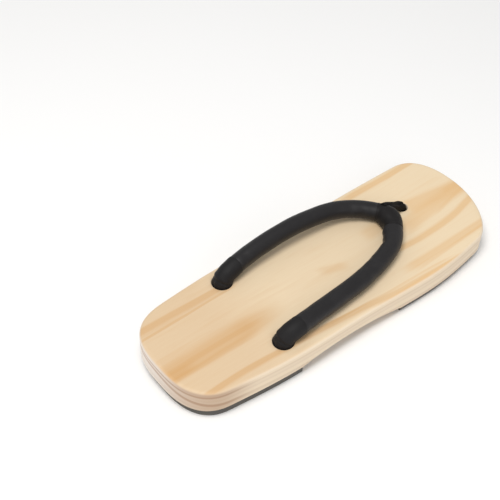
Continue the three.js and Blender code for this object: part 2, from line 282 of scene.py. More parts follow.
@dataclass
class Course:
    """Smooth line through points, read at even steps of its own length."""

    points: list[Vector]
    spacing: float = 0.6
    places: list[Vector] = field(default_factory=list)
    headings: list[Vector] = field(default_factory=list)
    length: float = 0.0

    def __post_init__(self) -> None:
        """Samples the line finely and spreads its places evenly."""
        fine = self._fine(40)
        runs = [0.0]
        for a, b in zip(fine, fine[1:]):
            runs.append(runs[-1] + (b - a).length)
        self.length = runs[-1]
        count = max(2, round(self.length / self.spacing))
        at = 0
        for i in range(count + 1):
            goal = self.length * i / count
            while at < len(runs) - 2 and runs[at + 1] < goal:
                at += 1
            share = (goal - runs[at]) / max(runs[at + 1] - runs[at], 1e-9)
            self.places.append(fine[at].lerp(fine[at + 1], share))
        last = len(self.places) - 1
        for i in range(last + 1):
            ahead, behind = self.places[min(i + 1, last)], self.places[max(i - 1, 0)]
            self.headings.append((ahead - behind).normalized())

    def _fine(self, steps: int) -> list[Vector]:
        """Centripetal spline through the points.

        Args:
            steps: Samples between two points.

        Returns:
            The samples in order.
        """
        given = self.points
        out = []
        for i in range(len(given) - 1):
            p1, p2 = given[i], given[i + 1]
            p0 = given[i - 1] if i else p1 * 2 - p2
            p3 = given[i + 2] if i + 2 < len(given) else p2 * 2 - p1
            d0, d1, d2 = (max((b - a).length ** 0.5, 1e-3) for a, b in ((p0, p1), (p1, p2), (p2, p3)))
            leave = ((p1 - p0) / d0 - (p2 - p0) / (d0 + d1) + (p2 - p1) / d1) * d1
            arrive = ((p2 - p1) / d1 - (p3 - p1) / (d1 + d2) + (p3 - p2) / d2) * d1
            for k in range(steps):
                t = k / steps
                cubic = (p1 * 2 - p2 * 2 + leave + arrive) * t ** 3
                square = (p2 * 3 - p1 * 3 - leave * 2 - arrive) * t ** 2
                out.append(cubic + square + leave * t + p1)
        out.append(given[-1])
        return out

    def at(self, index: int) -> float:
        """Returns the distance along the line at one of its places."""
        return self.length * index / (len(self.places) - 1)

    def frames(self) -> list[Frame]:
        """Place, side, up and distance at each step, without twist.

        Returns:
            One tuple for each place; the first side is the one nearest to +Y.
        """
        side = ACROSS
        out = []
        for i, (place, heading) in enumerate(zip(self.places, self.headings)):
            side = (side - heading * side.dot(heading)).normalized()
            out.append((place, side.copy(), heading.cross(side), self.at(i)))
        return out


def tube(sketch: Sketch, frames: Sequence[Frame], sides: int,
         reach: Callable[[float, float], tuple[float, float]], settle: Callable[[Vector], Vector] | None = None,
         slot: int | Callable[[float], int] = 0) -> None:
    """Adds a tube to a sketch.

    Args:
        sketch: Where the tube goes.
        frames: Place, side, up and distance of each ring.
        sides: Points in a ring.
        reach: Gives half width and half height for a distance and an angle.
        settle: Moves a point clear of what it lies on.
        slot: Index of the material, or a function that gives it for a distance.
    """
    paint = slot if callable(slot) else lambda run: slot
    rings = []
    for place, side, up, run in frames:
        ring = []
        for i in range(sides):
            angle = math.tau * i / sides
            wide, high = reach(run, angle)
            point = place + side * (wide * math.cos(angle)) + up * (high * math.sin(angle))
            ring.append(settle(point) if settle else point)
        rings.append(sketch.ring(ring))
    girth = math.tau * reach(frames[len(frames) // 2][3], 0.0)[0]
    for (low, high), first, second in zip(zip(rings, rings[1:]), frames, frames[1:]):
        sketch.bridge(low, high, first[3], second[3] - first[3], girth, paint(first[3]))
    sketch.close(rings[0], -1, paint(frames[0][3]))
    sketch.close(rings[-1], 1, paint(frames[-1][3]))


# ---- Shader sheets ----


class NodeSheet:
    """Short ways to add and link nodes in one tree."""

    def __init__(self, tree: bpy.types.NodeTree) -> None:
        """Takes the tree that the nodes go in."""
        self.tree = tree

    def add(self, kind: str, **settings: object) -> bpy.types.Node:
        """Adds a node.

        Args:
            kind: Its type name without the ShaderNode prefix.
            settings: Properties to set on it.

        Returns:
            The new node.
        """
        node = self.tree.nodes.new("ShaderNode" + kind)
        for name, value in settings.items():
            setattr(node, name, value)
        return node

    def feed(self, socket: Socket, value: Value) -> None:
        """Links a socket to another one, or sets it to a constant."""
        if isinstance(value, Socket):
            self.tree.links.new(value, socket)
        elif value is not None:
            socket.default_value = value

    def math(self, operation: str, *values: Value, clamp: bool = False) -> Socket:
        """Adds a Math node.

        Args:
            operation: Its operation.
            values: Its inputs.
            clamp: Whether the result stays between 0 and 1.

        Returns:
            Its output.
        """
        node = self.add("Math", operation=operation, use_clamp=clamp)
        for socket, value in zip(node.inputs, values):
            self.feed(socket, value)
        return node.outputs[0]

    def times(self, a: Value, b: Value) -> Socket:
        """Returns the product of two values."""
        return self.math("MULTIPLY", a, b)

    def plus(self, a: Value, b: Value) -> Socket:
        """Returns the sum of two values."""
        return self.math("ADD", a, b)

    def minus(self, a: Value, b: Value) -> Socket:
        """Returns the first value less the second."""
        return self.math("SUBTRACT", a, b)

    def span(self, value: Value, low: Value, high: Value, first: float = 0.0, last: float = 1.0) -> Socket:
        """Smooth step of a value between two limits.

        Args:
            value: What is read.
            low: Where the step starts.
            high: Where the step ends.
            first: Result at the start.
            last: Result at the end.

        Returns:
            The step's output.
        """
        node = self.add("MapRange", interpolation_type="SMOOTHSTEP")
        for socket, given in zip(node.inputs, (value, low, high, first, last)):
            self.feed(socket, given)
        return node.outputs[0]

    def blend(self, share: Value, a: Value, b: Value, way: str = "MIX") -> Socket:
        """Mixes two colours.

        Args:
            share: How much of the second one.
            a: The first colour.
            b: The second colour.
            way: Blend mode.

        Returns:
            The mixed colour.
        """
        node = self.add("Mix", data_type="RGBA", blend_type=way)
        self.feed(node.inputs[0], share)
        self.feed(node.inputs[6], a)
        self.feed(node.inputs[7], b)
        return node.outputs[2]

    def vector(self, x: Value, y: Value, z: Value = 0.0) -> Socket:
        """Joins three values into a vector and returns it."""
        node = self.add("CombineXYZ")
        for socket, value in zip(node.inputs, (x, y, z)):
            self.feed(socket, value)
        return node.outputs[0]

    def scaled(self, parts: Sequence[Value], scales: Sequence[float]) -> Socket:
        """Returns a vector of two or three values, each times its own scale."""
        return self.vector(*(self.times(part, scale) for part, scale in zip(parts, scales)))

    def split(self, vector: Value) -> tuple[Socket, ...]:
        """Splits a vector and returns its three parts."""
        node = self.add("SeparateXYZ")
        self.feed(node.inputs[0], vector)
        return tuple(node.outputs)

    def noise(self, vector: Value, scale: Value, detail: float = 2.0, roughness: float = 0.5) -> Socket:
        """Adds a noise texture and returns its grey value."""
        node = self.add("TexNoise")
        self.feed(node.inputs["Vector"], vector)
        self.feed(node.inputs["Scale"], scale)
        node.inputs["Detail"].default_value = detail
        node.inputs["Roughness"].default_value = roughness
        return node.outputs[0]


class Effect(NodeSheet):
    """A node group with named inputs and outputs, built once and used in several materials."""

    def __init__(self, name: str, inputs: dict[str, float | tuple[float, ...]], outputs: dict[str, str]) -> None:
        """Makes the group's frame.

        Args:
            name: The group's name.
            inputs: Names and default values; a tuple of three makes a vector.
            outputs: Names and kinds, such as Float or Color.
        """
        super().__init__(bpy.data.node_groups.new(name, "ShaderNodeTree"))
        for label, value in inputs.items():
            kind = "NodeSocketVector" if isinstance(value, tuple) else "NodeSocketFloat"
            socket = self.tree.interface.new_socket(label, in_out="INPUT", socket_type=kind)
            socket.default_value = value
        for label, kind in outputs.items():
            self.tree.interface.new_socket(label, in_out="OUTPUT", socket_type="NodeSocket" + kind)
        self.entry = self.tree.nodes.new("NodeGroupInput")
        self.exit = self.tree.nodes.new("NodeGroupOutput")

    def given(self, label: str) -> Socket:
        """Returns the group's own input socket."""
        return self.entry.outputs[label]

    def give(self, label: str, value: Value) -> None:
        """Links a value to the group's output."""
        self.feed(self.exit.inputs[label], value)

    def place(self, sheet: NodeSheet, **values: Value) -> bpy.types.Node:
        """Places the group in another tree.

        Args:
            sheet: The tree that it goes in.
            values: Inputs, with underscores for spaces.

        Returns:
            The group node.
        """
        node = sheet.add("Group")
        node.node_tree = self.tree
        for label, value in values.items():
            sheet.feed(node.inputs[label.replace("_", " ")], value)
        return node


class Effects:
    """The shared effects, each built once."""

    def __init__(self) -> None:
        """Builds every group."""
        self.flow = self._fibre_flow()
        self.band = self._grain_band()
        self.rings = self._ring_lines()
        self.weave = self._plain_weave()
        self.speckle = self._speckle()

    @staticmethod
    def _fibre_flow() -> Effect:
        """Wandering board coordinates: along, across and depth under the tread.

        Returns:
            The group.
        """
        effect = Effect("fibre_flow", {"Point": (0.0, 0.0, 0.0), "Wander": 1.0},
                        {"Along": "Float", "Across": "Float", "Depth": "Float", "Fibre": "Float"})
        place = [effect.times(part, 1 / MM) for part in effect.split(effect.given("Point"))]
        x, y, z = place
        slow = effect.noise(effect.scaled(place, (0.013, 0.035, 0.03)), 1.0, 1.0)
        quick = effect.noise(effect.scaled(place, (0.035, 0.16, 0.16)), 1.0, 2.0)
        drift = effect.plus(effect.times(effect.minus(slow, 0.5), 6.0), effect.times(effect.minus(quick, 0.5), 2.2))
        drift = effect.times(drift, effect.given("Wander"))
        form = BoardForm()
        share = effect.math("DIVIDE", x, form.length / 2)
        rise = effect.plus(effect.times(share, form.tilt), effect.times(effect.times(share, share), form.hollow))
        tread = effect.plus(form.waist_height, rise)
        fibre = effect.noise(effect.scaled(place, (0.05, 1.5, 1.5)), 1.0, 4.0, 0.6)
        effect.give("Along", x)
        effect.give("Across", effect.plus(y, drift))
        effect.give("Depth", effect.plus(effect.minus(tread, z), effect.times(drift, 0.3)))
        effect.give("Fibre", fibre)
        return effect

    @staticmethod
    def _grain_band() -> Effect:
        """One soft stripe bent along the board, for late wood and for the painted shade inside the strap's bend.

        Returns:
            The group.
        """
        effect = Effect("grain_band", {"Along": 0.0, "Across": 0.0, "Offset": 0.0, "Slope": 0.0, "Bend": 0.0,
                                       "Twist": 0.0, "Above": 2.0, "Below": 2.0, "Start": -140.0, "End": 140.0,
                                       "Fade": 20.0, "Strength": 0.5}, {"Mask": "Float"})
        along, start, end, fade = (effect.given(label) for label in ("Along", "Start", "End", "Fade"))
        share = effect.math("DIVIDE", along, 100.0)
        course = effect.given("Twist")
        for label in ("Bend", "Slope", "Offset"):
            course = effect.math("MULTIPLY_ADD", share, course, effect.given(label))
        gap = effect.minus(effect.given("Across"), course)
        above = effect.span(gap, 0.0, effect.given("Above"), 1.0, 0.0)
        below = effect.span(gap, effect.times(effect.given("Below"), -1.0), 0.0)
        into = effect.span(along, effect.minus(start, fade), start)
        out = effect.span(along, end, effect.plus(end, fade), 1.0, 0.0)
        across = effect.math("MULTIPLY", effect.math("MINIMUM", above, below), 1.5, clamp=True)
        mask = effect.times(across, effect.times(into, out))
        effect.give("Mask", effect.times(mask, effect.given("Strength")))
        return effect

    @staticmethod
    def _ring_lines() -> Effect:
        """Thin growth lines across one coordinate, unevenly spaced.

        Returns:
            The group.
        """
        effect = Effect("ring_lines", {"Place": 0.0, "Spacing": 3.0, "Width": 0.25, "Uneven": 1.0, "Phase": 0.0},
                        {"Mask": "Float"})
        place, width, phase = (effect.given(label) for label in ("Place", "Width", "Phase"))
        crest = 0.8
        stretch = effect.noise(effect.vector(effect.times(place, 0.11), phase), 1.0, 1.0)
        uneven = effect.times(effect.given("Uneven"), 9.0)
        place = effect.math("MULTIPLY_ADD", effect.minus(stretch, 0.5), uneven, place)
        turn = effect.math("FRACT", effect.plus(effect.math("DIVIDE", place, effect.given("Spacing")), phase))
        rise = effect.span(turn, effect.minus(crest, effect.times(width, 2.0)), crest)
        fall = effect.span(turn, crest, effect.plus(crest, effect.times(width, 0.6)), 1.0, 0.0)
        effect.give("Mask", effect.times(rise, fall))
        return effect

    @staticmethod
    def _plain_weave() -> Effect:
        """Over and under threads of a plain cloth.

        Returns:
            The group.
        """
        effect = Effect("plain_weave", {"Chart": (0.0, 0.0, 0.0), "Thread": 0.35}, {"Height": "Float", "Tone": "Float"})
        along, round_, _ = effect.split(effect.given("Chart"))
        pace = effect.math("DIVIDE", math.pi, effect.given("Thread"))
        warp = effect.math("SINE", effect.times(along, pace))
        weft = effect.math("SINE", effect.times(round_, pace))
        knit = effect.times(warp, weft)
        slub = effect.noise(effect.scaled((along, round_), (0.25, 3.0)), 1.0, 2.0)
        effect.give("Height", effect.math("MULTIPLY_ADD", knit, 0.5, effect.times(slub, 0.6)))
        effect.give("Tone", effect.math("MULTIPLY_ADD", knit, 0.18, slub))
        return effect

    @staticmethod
    def _speckle() -> Effect:
        """Uneven tone and fine bumps in three dimensions.

        Returns:
            The group.
        """
        effect = Effect("speckle", {"Point": (0.0, 0.0, 0.0), "Patch": 90.0, "Grit": 1400.0},
                        {"Tone": "Float", "Height": "Float"})
        effect.give("Tone", effect.noise(effect.given("Point"), effect.given("Patch"), 3.0))
        effect.give("Height", effect.noise(effect.given("Point"), effect.given("Grit"), 2.0, 0.6))
        return effect


@dataclass(frozen=True)
class GrainOrShadeBand:
    """One stripe on the tread, of grain or of painted shade: place, widths and ends in millimetres, and its strength.
    """

    offset: float
    slope: float
    bend: float
    above: float
    below: float
    start: float
    end: float
    fade: float
    strength: float
    twist: float = 0.0

    def inputs(self) -> dict[str, float]:
        """Returns the stripe's values under the names of its group's inputs."""
        return {name.capitalize(): value for name, value in asdict(self).items()}


# Columns: offset, slope, bend, above, below, start, end, fade, strength and, where there is one, twist
GRAIN_AND_SHADE = tuple(GrainOrShadeBand(*row) for row in (
    (28.0, 0.0, 0.0, 2.8, 6.0, -150, -66, 20, 0.50),
    (24.5, 2.6, 0.0, 1.5, 1.3, -150, -62, 12, 0.42),
    (-8.0, 1.7, 0.0, 14.0, 9.0, -150, -76, 30, 0.48),
    (-8.0, 0.0, 0.0, 2.8, 2.6, -150, -70, 18, 0.34),
    (-14.6, 0.0, 0.0, 3.4, 3.2, -150, -84, 24, 0.36),
    (-11.5, 0.0, 0.0, 5.4, 5.4, -150, -122, 14, 0.46),
    (-5.0, 4.0, 0.0, 10.0, 9.5, -66, -56, 20, 0.24),
    (-39.2, -10.0, 1.2, 2.6, 4.2, -120, 100, 18, 0.52, 4.4),
    (-37.4, -5.0, 0.0, 1.0, 1.6, -20, 62, 22, 0.34),
    (-44.0, -1.0, 0.0, 2.6, 2.4, 18, 92, 20, 0.40),
    (40.6, 0.0, 0.0, 4.2, 3.4, 62, 122, 16, 0.62),
    (38.7, 0.0, 0.0, 1.2, 1.4, 98, 118, 12, 0.26),
    (21.0, -13.0, 0.0, 8.0, 13.0, 88, 150, 10, 0.50),
    (-13.4, 11.5, 0.0, 12.0, 7.0, 76, 150, 18, 0.44),
    (-29.6, 23.0, 0.0, 2.6, 1.5, 104, 150, 12, 0.26),
    (5.5, 0.0, 0.0, 4.0, 4.0, 120, 150, 8, 0.36),
    (-3.5, -37.5, 25.0, 4.8, 3.2, 56, 150, 16, 0.60),
    (-31.8, 0.0, 0.0, 4.4, 4.8, 52, 150, 16, 0.48),
    (-39.2, 5.1, 0.0, 1.8, 1.4, 56, 112, 14, 0.30),
    (-1.0, -30.0, 0.0, 5.5, 6.5, 1, 9, 9, 0.28),
    # Painted shade, not grain: the warm contact shadow inside the strap's bend, in the stripes' tan.
    (6.0, 0.0, 0.0, 9.0, 8.0, 46, 60, 9, 0.32),
))


def new_material(name: str) -> tuple[Material, NodeSheet, bpy.types.Node]:
    """Makes a material with a Principled shader.

    Args:
        name: Its name.

    Returns:
        The material, its sheet and the shader node.
    """
    material = bpy.data.materials.new(name)
    material.use_nodes = True
    sheet = NodeSheet(material.node_tree)
    shader = material.node_tree.nodes["Principled BSDF"]
    return material, sheet, shader


def bump(sheet: NodeSheet, shader: bpy.types.Node, height: Value, strength: float, depth: float) -> None:
    """Feeds a height into the shader's normal.

    Args:
        sheet: The material's sheet.
        shader: The shader node.
        height: The height.
        strength: How much of it shows.
        depth: Real depth in millimetres.
    """
    node = sheet.add("Bump")
    node.inputs["Strength"].default_value = strength
    node.inputs["Distance"].default_value = depth * MM
    sheet.feed(node.inputs["Height"], height)
    sheet.feed(shader.inputs["Normal"], node.outputs[0])


@dataclass(frozen=True)
class PineFinish:
    """Sanded bare pine: pale early wood with tan stripes, and thin lines round the sides; one stripe is painted shade
    inside the strap's bend, and the pale wood carries painted shade at the heel and painted light at the toe.
    """

    pale: Colour = (0.792, 0.640, 0.443, 1.0)
    # The heel's pale wood is pinker and also painted darker, as shade against the key light that falls most on the
    # heel; the toe's pale wood is painted lighter, as light where the key light falls off.
    heel_pale: Colour = (0.698, 0.528, 0.345, 1.0)
    fore_pale: Colour = (0.812, 0.660, 0.455, 1.0)
    tan: Colour = (0.600, 0.335, 0.125, 1.0)
    fore_tan: Colour = (0.730, 0.455, 0.205, 1.0)
    edge: Colour = (0.83, 0.705, 0.555, 1.0)
    side: Colour = (0.83, 0.690, 0.515, 1.0)
    heel: Colour = (0.86, 0.780, 0.700, 1.0)
    corner: Colour = (0.57, 0.42, 0.295, 1.0)
    line: Colour = (0.42, 0.26, 0.165, 1.0)
    roughness: float = 0.52

    def make(self, effects: Effects) -> Material:
        """Builds the material.

        Args:
            effects: The shared groups.

        Returns:
            The material.
        """
        material, sheet, shader = new_material("pine")
        where = sheet.add("TexCoord")
        point = where.outputs["Object"]
        flow = effects.flow.place(sheet, Point=point, Wander=0.55).outputs
        fibre = flow["Fibre"]
        # Painted shade at the heel and painted light at the toe: the pale wood darker and lighter along the board
        # against the key light's spread.
        pale = sheet.blend(sheet.span(flow["Along"], -88.0, -34.0), self.heel_pale, self.pale)
        pale = sheet.blend(sheet.span(flow["Along"], 34.0, 84.0), pale, self.fore_pale)
        tan = sheet.blend(sheet.span(flow["Along"], -40.0, 50.0), self.tan, self.fore_tan)
        colour = sheet.blend(sheet.span(fibre, 0.35, 0.75, 0.0, 0.09), pale, tan)
        # The table's last stripe is painted shade inside the strap's bend; the others are grain.
        for band in GRAIN_AND_SHADE:
            stripe = effects.band.place(sheet, Along=flow["Along"], Across=flow["Across"], **band.inputs())
            colour = sheet.blend(stripe.outputs["Mask"], colour, tan)
        thin = effects.rings.place(sheet, Place=flow["Across"], Spacing=5.2, Width=0.34, Phase=0.37).outputs["Mask"]
        patchy = sheet.noise(sheet.scaled((flow["Along"], flow["Across"]), (0.02, 0.08)), 1.0, 1.0)
        thin = sheet.times(thin, sheet.span(patchy, 0.46, 0.70, 0.0, 0.14))
        colour = sheet.blend(thin, colour, tan)

        x, y, _ = (sheet.times(part, 1 / MM) for part in sheet.split(point))
        behind = sheet.span(x, -118.0, -84.0, 1.0, 0.0)
        wall = sheet.blend(sheet.span(y, 20.0, -42.0), self.heel, self.corner)
        wall = sheet.blend(behind, self.side, wall)
        faint = effects.rings.place(sheet, Place=flow["Depth"], Spacing=6.4, Width=0.30, Uneven=0.3,
                                    Phase=0.6).outputs["Mask"]
        wall = sheet.blend(sheet.times(faint, 0.14), wall, self.line)
        darker = sheet.times(sheet.span(behind, 0.0, 1.0, 0.22, 1.0), sheet.span(y, 34.0, -38.0, 0.42, 0.82))
        for offset, slope, bend, above, below in ((3.8, 0.0, 0.0, 1.7, 1.1), (7.3, -6.5, 12.0, 2.2, 1.6)):
            mask = effects.band.place(sheet, Along=y, Across=flow["Depth"], Offset=offset, Slope=slope, Bend=bend,
                                      Above=above, Below=below, Strength=1.0).outputs["Mask"]
            wall = sheet.blend(sheet.times(mask, darker), wall, self.line)
        rim = effects.band.place(sheet, Along=y, Across=flow["Depth"], Offset=2.0, Above=1.6, Below=1.8,
                                 Start=-60.0, End=-24.0, Fade=16.0, Strength=0.42).outputs["Mask"]
        wall = sheet.blend(sheet.times(rim, behind), wall, self.line)
        _, _, upright = sheet.split(where.outputs["Normal"])
        steep = sheet.span(sheet.math("ABSOLUTE", upright), 0.30, 0.86, 1.0, 0.0)
        colour = sheet.blend(steep, colour, wall)
        turned = sheet.times(sheet.span(upright, 0.10, 0.50), sheet.span(upright, 0.72, 0.97, 1.0, 0.0))
        colour = sheet.blend(sheet.times(turned, sheet.span(x, -112.0, -84.0, 0.12, 0.6)), colour, self.edge)
        sheet.feed(shader.inputs["Base Color"], colour)
        rough = sheet.span(fibre, 0.2, 0.8, self.roughness - 0.06, self.roughness + 0.08)
        sheet.feed(shader.inputs["Roughness"], rough)
        shader.inputs["IOR"].default_value = 1.45
        shader.inputs["Specular IOR Level"].default_value = 0.35
        bump(sheet, shader, fibre, 0.35, 0.06)
        return material


@dataclass(frozen=True)
class RubberFinish:
    """Matt dark grey rubber with a fine grit and a dusty lower edge."""

    base: Colour = (0.092, 0.087, 0.076, 1.0)
    dust: Colour = (0.165, 0.156, 0.136, 1.0)
    roughness: float = 0.78

    def make(self, effects: Effects) -> Material:
        """Builds the material.

        Args:
            effects: The shared groups.

        Returns:
            The material.
        """
        material, sheet, shader = new_material("pad_rubber")
        point = sheet.add("TexCoord").outputs["Object"]
        speckle = effects.speckle.place(sheet, Point=point, Patch=110.0, Grit=1700.0).outputs
        _, _, height = sheet.split(point)
        low = sheet.span(height, 0.0, 2.6 * MM, 0.75, 0.12)
        share = sheet.times(low, sheet.span(speckle["Tone"], 0.3, 0.7))
        sheet.feed(shader.inputs["Base Color"], sheet.blend(share, self.base, self.dust))
        sheet.feed(shader.inputs["Roughness"],
                   sheet.span(speckle["Tone"], 0.2, 0.8, self.roughness - 0.08, self.roughness + 0.12))
        bump(sheet, shader, speckle["Height"], 0.5, 0.12)
        return material


@dataclass(frozen=True)
class ClothFinish:
    """Smooth black cloth with a fine plain weave and a soft sheen."""

    name: str
    base: Colour
    worn: Colour
    roughness: float
    thread: float
    sheen: float
    relief: float
    gloss: float

    def make(self, effects: Effects) -> Material:
        """Builds the material.

        Args:
            effects: The shared groups.

        Returns:
            The material.
        """
        material, sheet, shader = new_material(self.name)
        chart = sheet.add("UVMap", uv_map="cloth").outputs[0]
        point = sheet.add("TexCoord").outputs["Object"]
        weave = effects.weave.place(sheet, Chart=chart, Thread=self.thread).outputs
        speckle = effects.speckle.place(sheet, Point=point, Patch=70.0, Grit=900.0).outputs
        tone = sheet.math("MULTIPLY_ADD", weave["Tone"], 0.5, sheet.times(speckle["Tone"], 0.5))
        sheet.feed(shader.inputs["Base Color"], sheet.blend(sheet.span(tone, 0.25, 0.75), self.base, self.worn))
        sheet.feed(shader.inputs["Roughness"],
                   sheet.span(speckle["Tone"], 0.25, 0.75, self.roughness - 0.05, self.roughness + 0.07))
        shader.inputs["Sheen Weight"].default_value = self.sheen
        shader.inputs["Sheen Roughness"].default_value = 0.45
        shader.inputs["Specular IOR Level"].default_value = self.gloss
        height = sheet.plus(weave["Height"], sheet.times(speckle["Height"], 0.4))
        bump(sheet, shader, height, self.relief, 0.08)
        return material


STRAP_CLOTH = ClothFinish("strap_cloth", (0.0112, 0.0103, 0.0112, 1.0), (0.0172, 0.0160, 0.0172, 1.0),
                          0.48, 0.34, 0.03, 0.3, 0.30)
COVER_CLOTH = ClothFinish("cover_cloth", (0.0098, 0.0092, 0.0098, 1.0), (0.0150, 0.0141, 0.0150, 1.0),
                          0.58, 0.38, 0.02, 0.35, 0.21)
TIE_CLOTH = ClothFinish("tie_cloth", (0.0082, 0.0074, 0.0078, 1.0), (0.0125, 0.0112, 0.0116, 1.0),
                        0.52, 0.36, 0.03, 0.4, 0.19)
FOLD_CLOTH = ClothFinish("fold_cloth", (0.0058, 0.0052, 0.0054, 1.0), (0.0090, 0.0080, 0.0082, 1.0),
                         0.62, 0.36, 0.0, 0.4, 0.07)
CORD_CLOTH = ClothFinish("knot_cord", (0.030, 0.028, 0.028, 1.0), (0.050, 0.047, 0.046, 1.0), 0.85, 0.8, 0.05, 0.8, 0.3)


# ---- Board ----


@dataclass
class BoardForm:
    """The board's outline and heights."""

    length: float = 262.0
    ball_width: float = 92.4
    heel_height: float = 24.1
    waist_height: float = 20.4
    toe_height: float = 19.7
    heel_pad: float = 6.6
    fore_pad: float = 4.5
    heel_pad_length: float = 77.0
    fore_pad_length: float = 103.0
    arch_rise: float = 4.1
    arch_peak: float = 0.42
    heel_tip: float = -0.019
    toe_tip: float = 0.095
    plan: dict[str, tuple[float, ...]] = field(default_factory=lambda: {
        "inner": (0.396, 0.463, 0.480, 0.499, 0.493),
        "outer": (0.385, 0.466, 0.478, 0.498, 0.398),
    })
    heel_corner: dict[str, tuple[float, float]] = field(default_factory=lambda: {
        "inner": (33.0, 2.9), "outer": (25.6, 2.62)})
    toe_corner: dict[str, tuple[float, float]] = field(default_factory=lambda: {
        "inner": (25.7, 2.41), "outer": (29.4, 1.93)})

    @property
    def tilt(self) -> float:
        """Half of the tread's fall from heel to toe."""
        return (self.toe_height - self.heel_height) / 2

    @property
    def hollow(self) -> float:
        """How far the tread's ends rise over its waist, on average."""
        return (self.toe_height + self.heel_height) / 2 - self.waist_height

    @property
    def pad_gap(self) -> tuple[float, float]:
        """Ends of the waist between the pads."""
        return -self.length / 2 + self.heel_pad_length, self.length / 2 - self.fore_pad_length

    def tread(self, x: float) -> float:
        """Returns the height of the tread over the floor."""
        share = 2 * x / self.length
        return self.waist_height + self.tilt * share + self.hollow * share * share

    def underside(self, x: float) -> float:
        """Returns the height of the board's underside over the floor."""
        rear, front = self.pad_gap
        if x <= rear:
            return self.heel_pad
        if x >= front:
            return self.fore_pad
        share = (x - rear) / (front - rear)
        skewed = share ** (math.log(0.5) / math.log(self.arch_peak))
        return mix(self.heel_pad, self.fore_pad, share) + self.arch_rise * 4 * skewed * (1 - skewed)

    def half_width(self, side: Side, x: float) -> float:
        """Half width on one side, before the corners are rounded.

        Args:
            side: Which side.
            x: Place along the board.

        Returns:
            The half width.
        """
        values = self.plan[side.column]
        last = len(values) - 1
        place = min(max((x / self.length + 0.5) * last, 0.0), float(last))
        i = min(int(place), last - 1)
        u = place - i

        def slope(k: int) -> float:
            """Returns the table's slope at one row, for one row's step."""
            before, after = max(k - 1, 0), min(k + 1, last)
            return (values[after] - values[before]) / (after - before)

        value = values[i] + (values[i + 1] - values[i]) * (3 - 2 * u) * u * u
        value += slope(i) * (u - 2 * u * u + u ** 3) + slope(i + 1) * (u ** 3 - u * u)
        return self.ball_width * value

    def outline(self, corner_steps: int = 36, side_steps: int = 90) -> list[Vector]:
        """Closed outline, anticlockwise from above, from the heel tip.

        Args:
            corner_steps: Steps round each corner.
            side_steps: Steps along each side between its corners.

        Returns:
            The outline's points, with an equal number on both sides.
        """
        tips = (self.heel_tip * self.ball_width, self.toe_tip * self.ball_width)
        ends = (-self.length / 2, self.length / 2)

        def along_side(side: Side) -> list[Vector]:
            """Points of one side from heel to toe, without the tips."""
            heel, toe = self.heel_corner[side.column], self.toe_corner[side.column]

            def corner(angle: float, shape: tuple[float, float], end: int) -> Vector:
                """Point of a rounded corner at an angle."""
                long, square = shape
                u, k = math.cos(angle) ** (2 / square), math.sin(angle) ** (2 / square)
                x = ends[end] + (1 - 2 * end) * long * (1 - u)
                edge = side.sign * self.half_width(side, x)
                return Vector((x, tips[end] + (edge - tips[end]) * k, 0.0))

            quarter = math.pi / 2
            points = [corner(quarter * i / corner_steps, heel, 0) for i in range(1, corner_steps + 1)]
            first, last = ends[0] + heel[0], ends[1] - toe[0]
            for i in range(1, side_steps + 1):
                x = mix(first, last, i / side_steps)
                points.append(Vector((x, side.sign * self.half_width(side, x), 0.0)))
            points += [corner(quarter * i / corner_steps, toe, 1) for i in range(corner_steps - 1, 0, -1)]
            return points

        loop = [Vector((ends[0], tips[0], 0.0)), *along_side(Side.OUTER), Vector((ends[1], tips[1], 0.0))]
        loop += reversed(along_side(Side.INNER))
        across = [p.y for p in loop]
        middle = (max(across) + min(across)) / 2
        return [p - Vector((0.0, middle, 0.0)) for p in loop]

    @staticmethod
    def normals(loop: list[Vector]) -> list[Vector]:
        """Returns the outward normal at each point of a loop."""
        count = len(loop)
        out = []
        for i in range(count):
            run = loop[(i + 1) % count] - loop[i - 1]
            out.append(Vector((run.y, -run.x, 0.0)).normalized())
        return out

    def plate(self, layers: Sequence[tuple[Callable[[Vector], float], Callable[[float], float]]],
              across: int = 14) -> Sketch:
        """Solid plate between layers of the outline.

        Args:
            layers: Inset by normal and height by place along, from the bottom up.
            across: Strips across the two faces.

        Returns:
            The plate's sketch.
        """
        loop = self.outline()
        normals = self.normals(loop)
        count = len(loop)
        sketch = Sketch()
        rings = []
        for inset, height in layers:
            ring = []
            for point, normal in zip(loop, normals):
                place = point - normal * inset(normal)
                ring.append(Vector((place.x, place.y, height(place.x))))
            rings.append(sketch.ring(ring))
        for low, high in zip(rings, rings[1:]):
            sketch.bridge(low, high)
        for ring, height, facing in ((rings[0], layers[0][1], -1), (rings[-1], layers[-1][1], 1)):
            rows = [[ring[0]] * (across + 1)]
            for i in range(1, count // 2):
                a, b = sketch.points[ring[i]], sketch.points[ring[count - i]]
                between = []
                for k in range(1, across):
                    place = a.lerp(b, k / across)
                    between.append(Vector((place.x, place.y, height(place.x))))
                rows.append([ring[i], *sketch.ring(between), ring[count - i]])
            rows.append([ring[count // 2]] * (across + 1))
            for low, high in zip(rows, rows[1:]):
                for k in range(across):
                    corners = [low[k], high[k], high[k + 1], low[k + 1]]
                    corners = [c for i, c in enumerate(corners) if c != corners[i - 1]]
                    if facing < 0:
                        corners.reverse()
                    if len(corners) > 2:
                        sketch.face(corners)
        return sketch


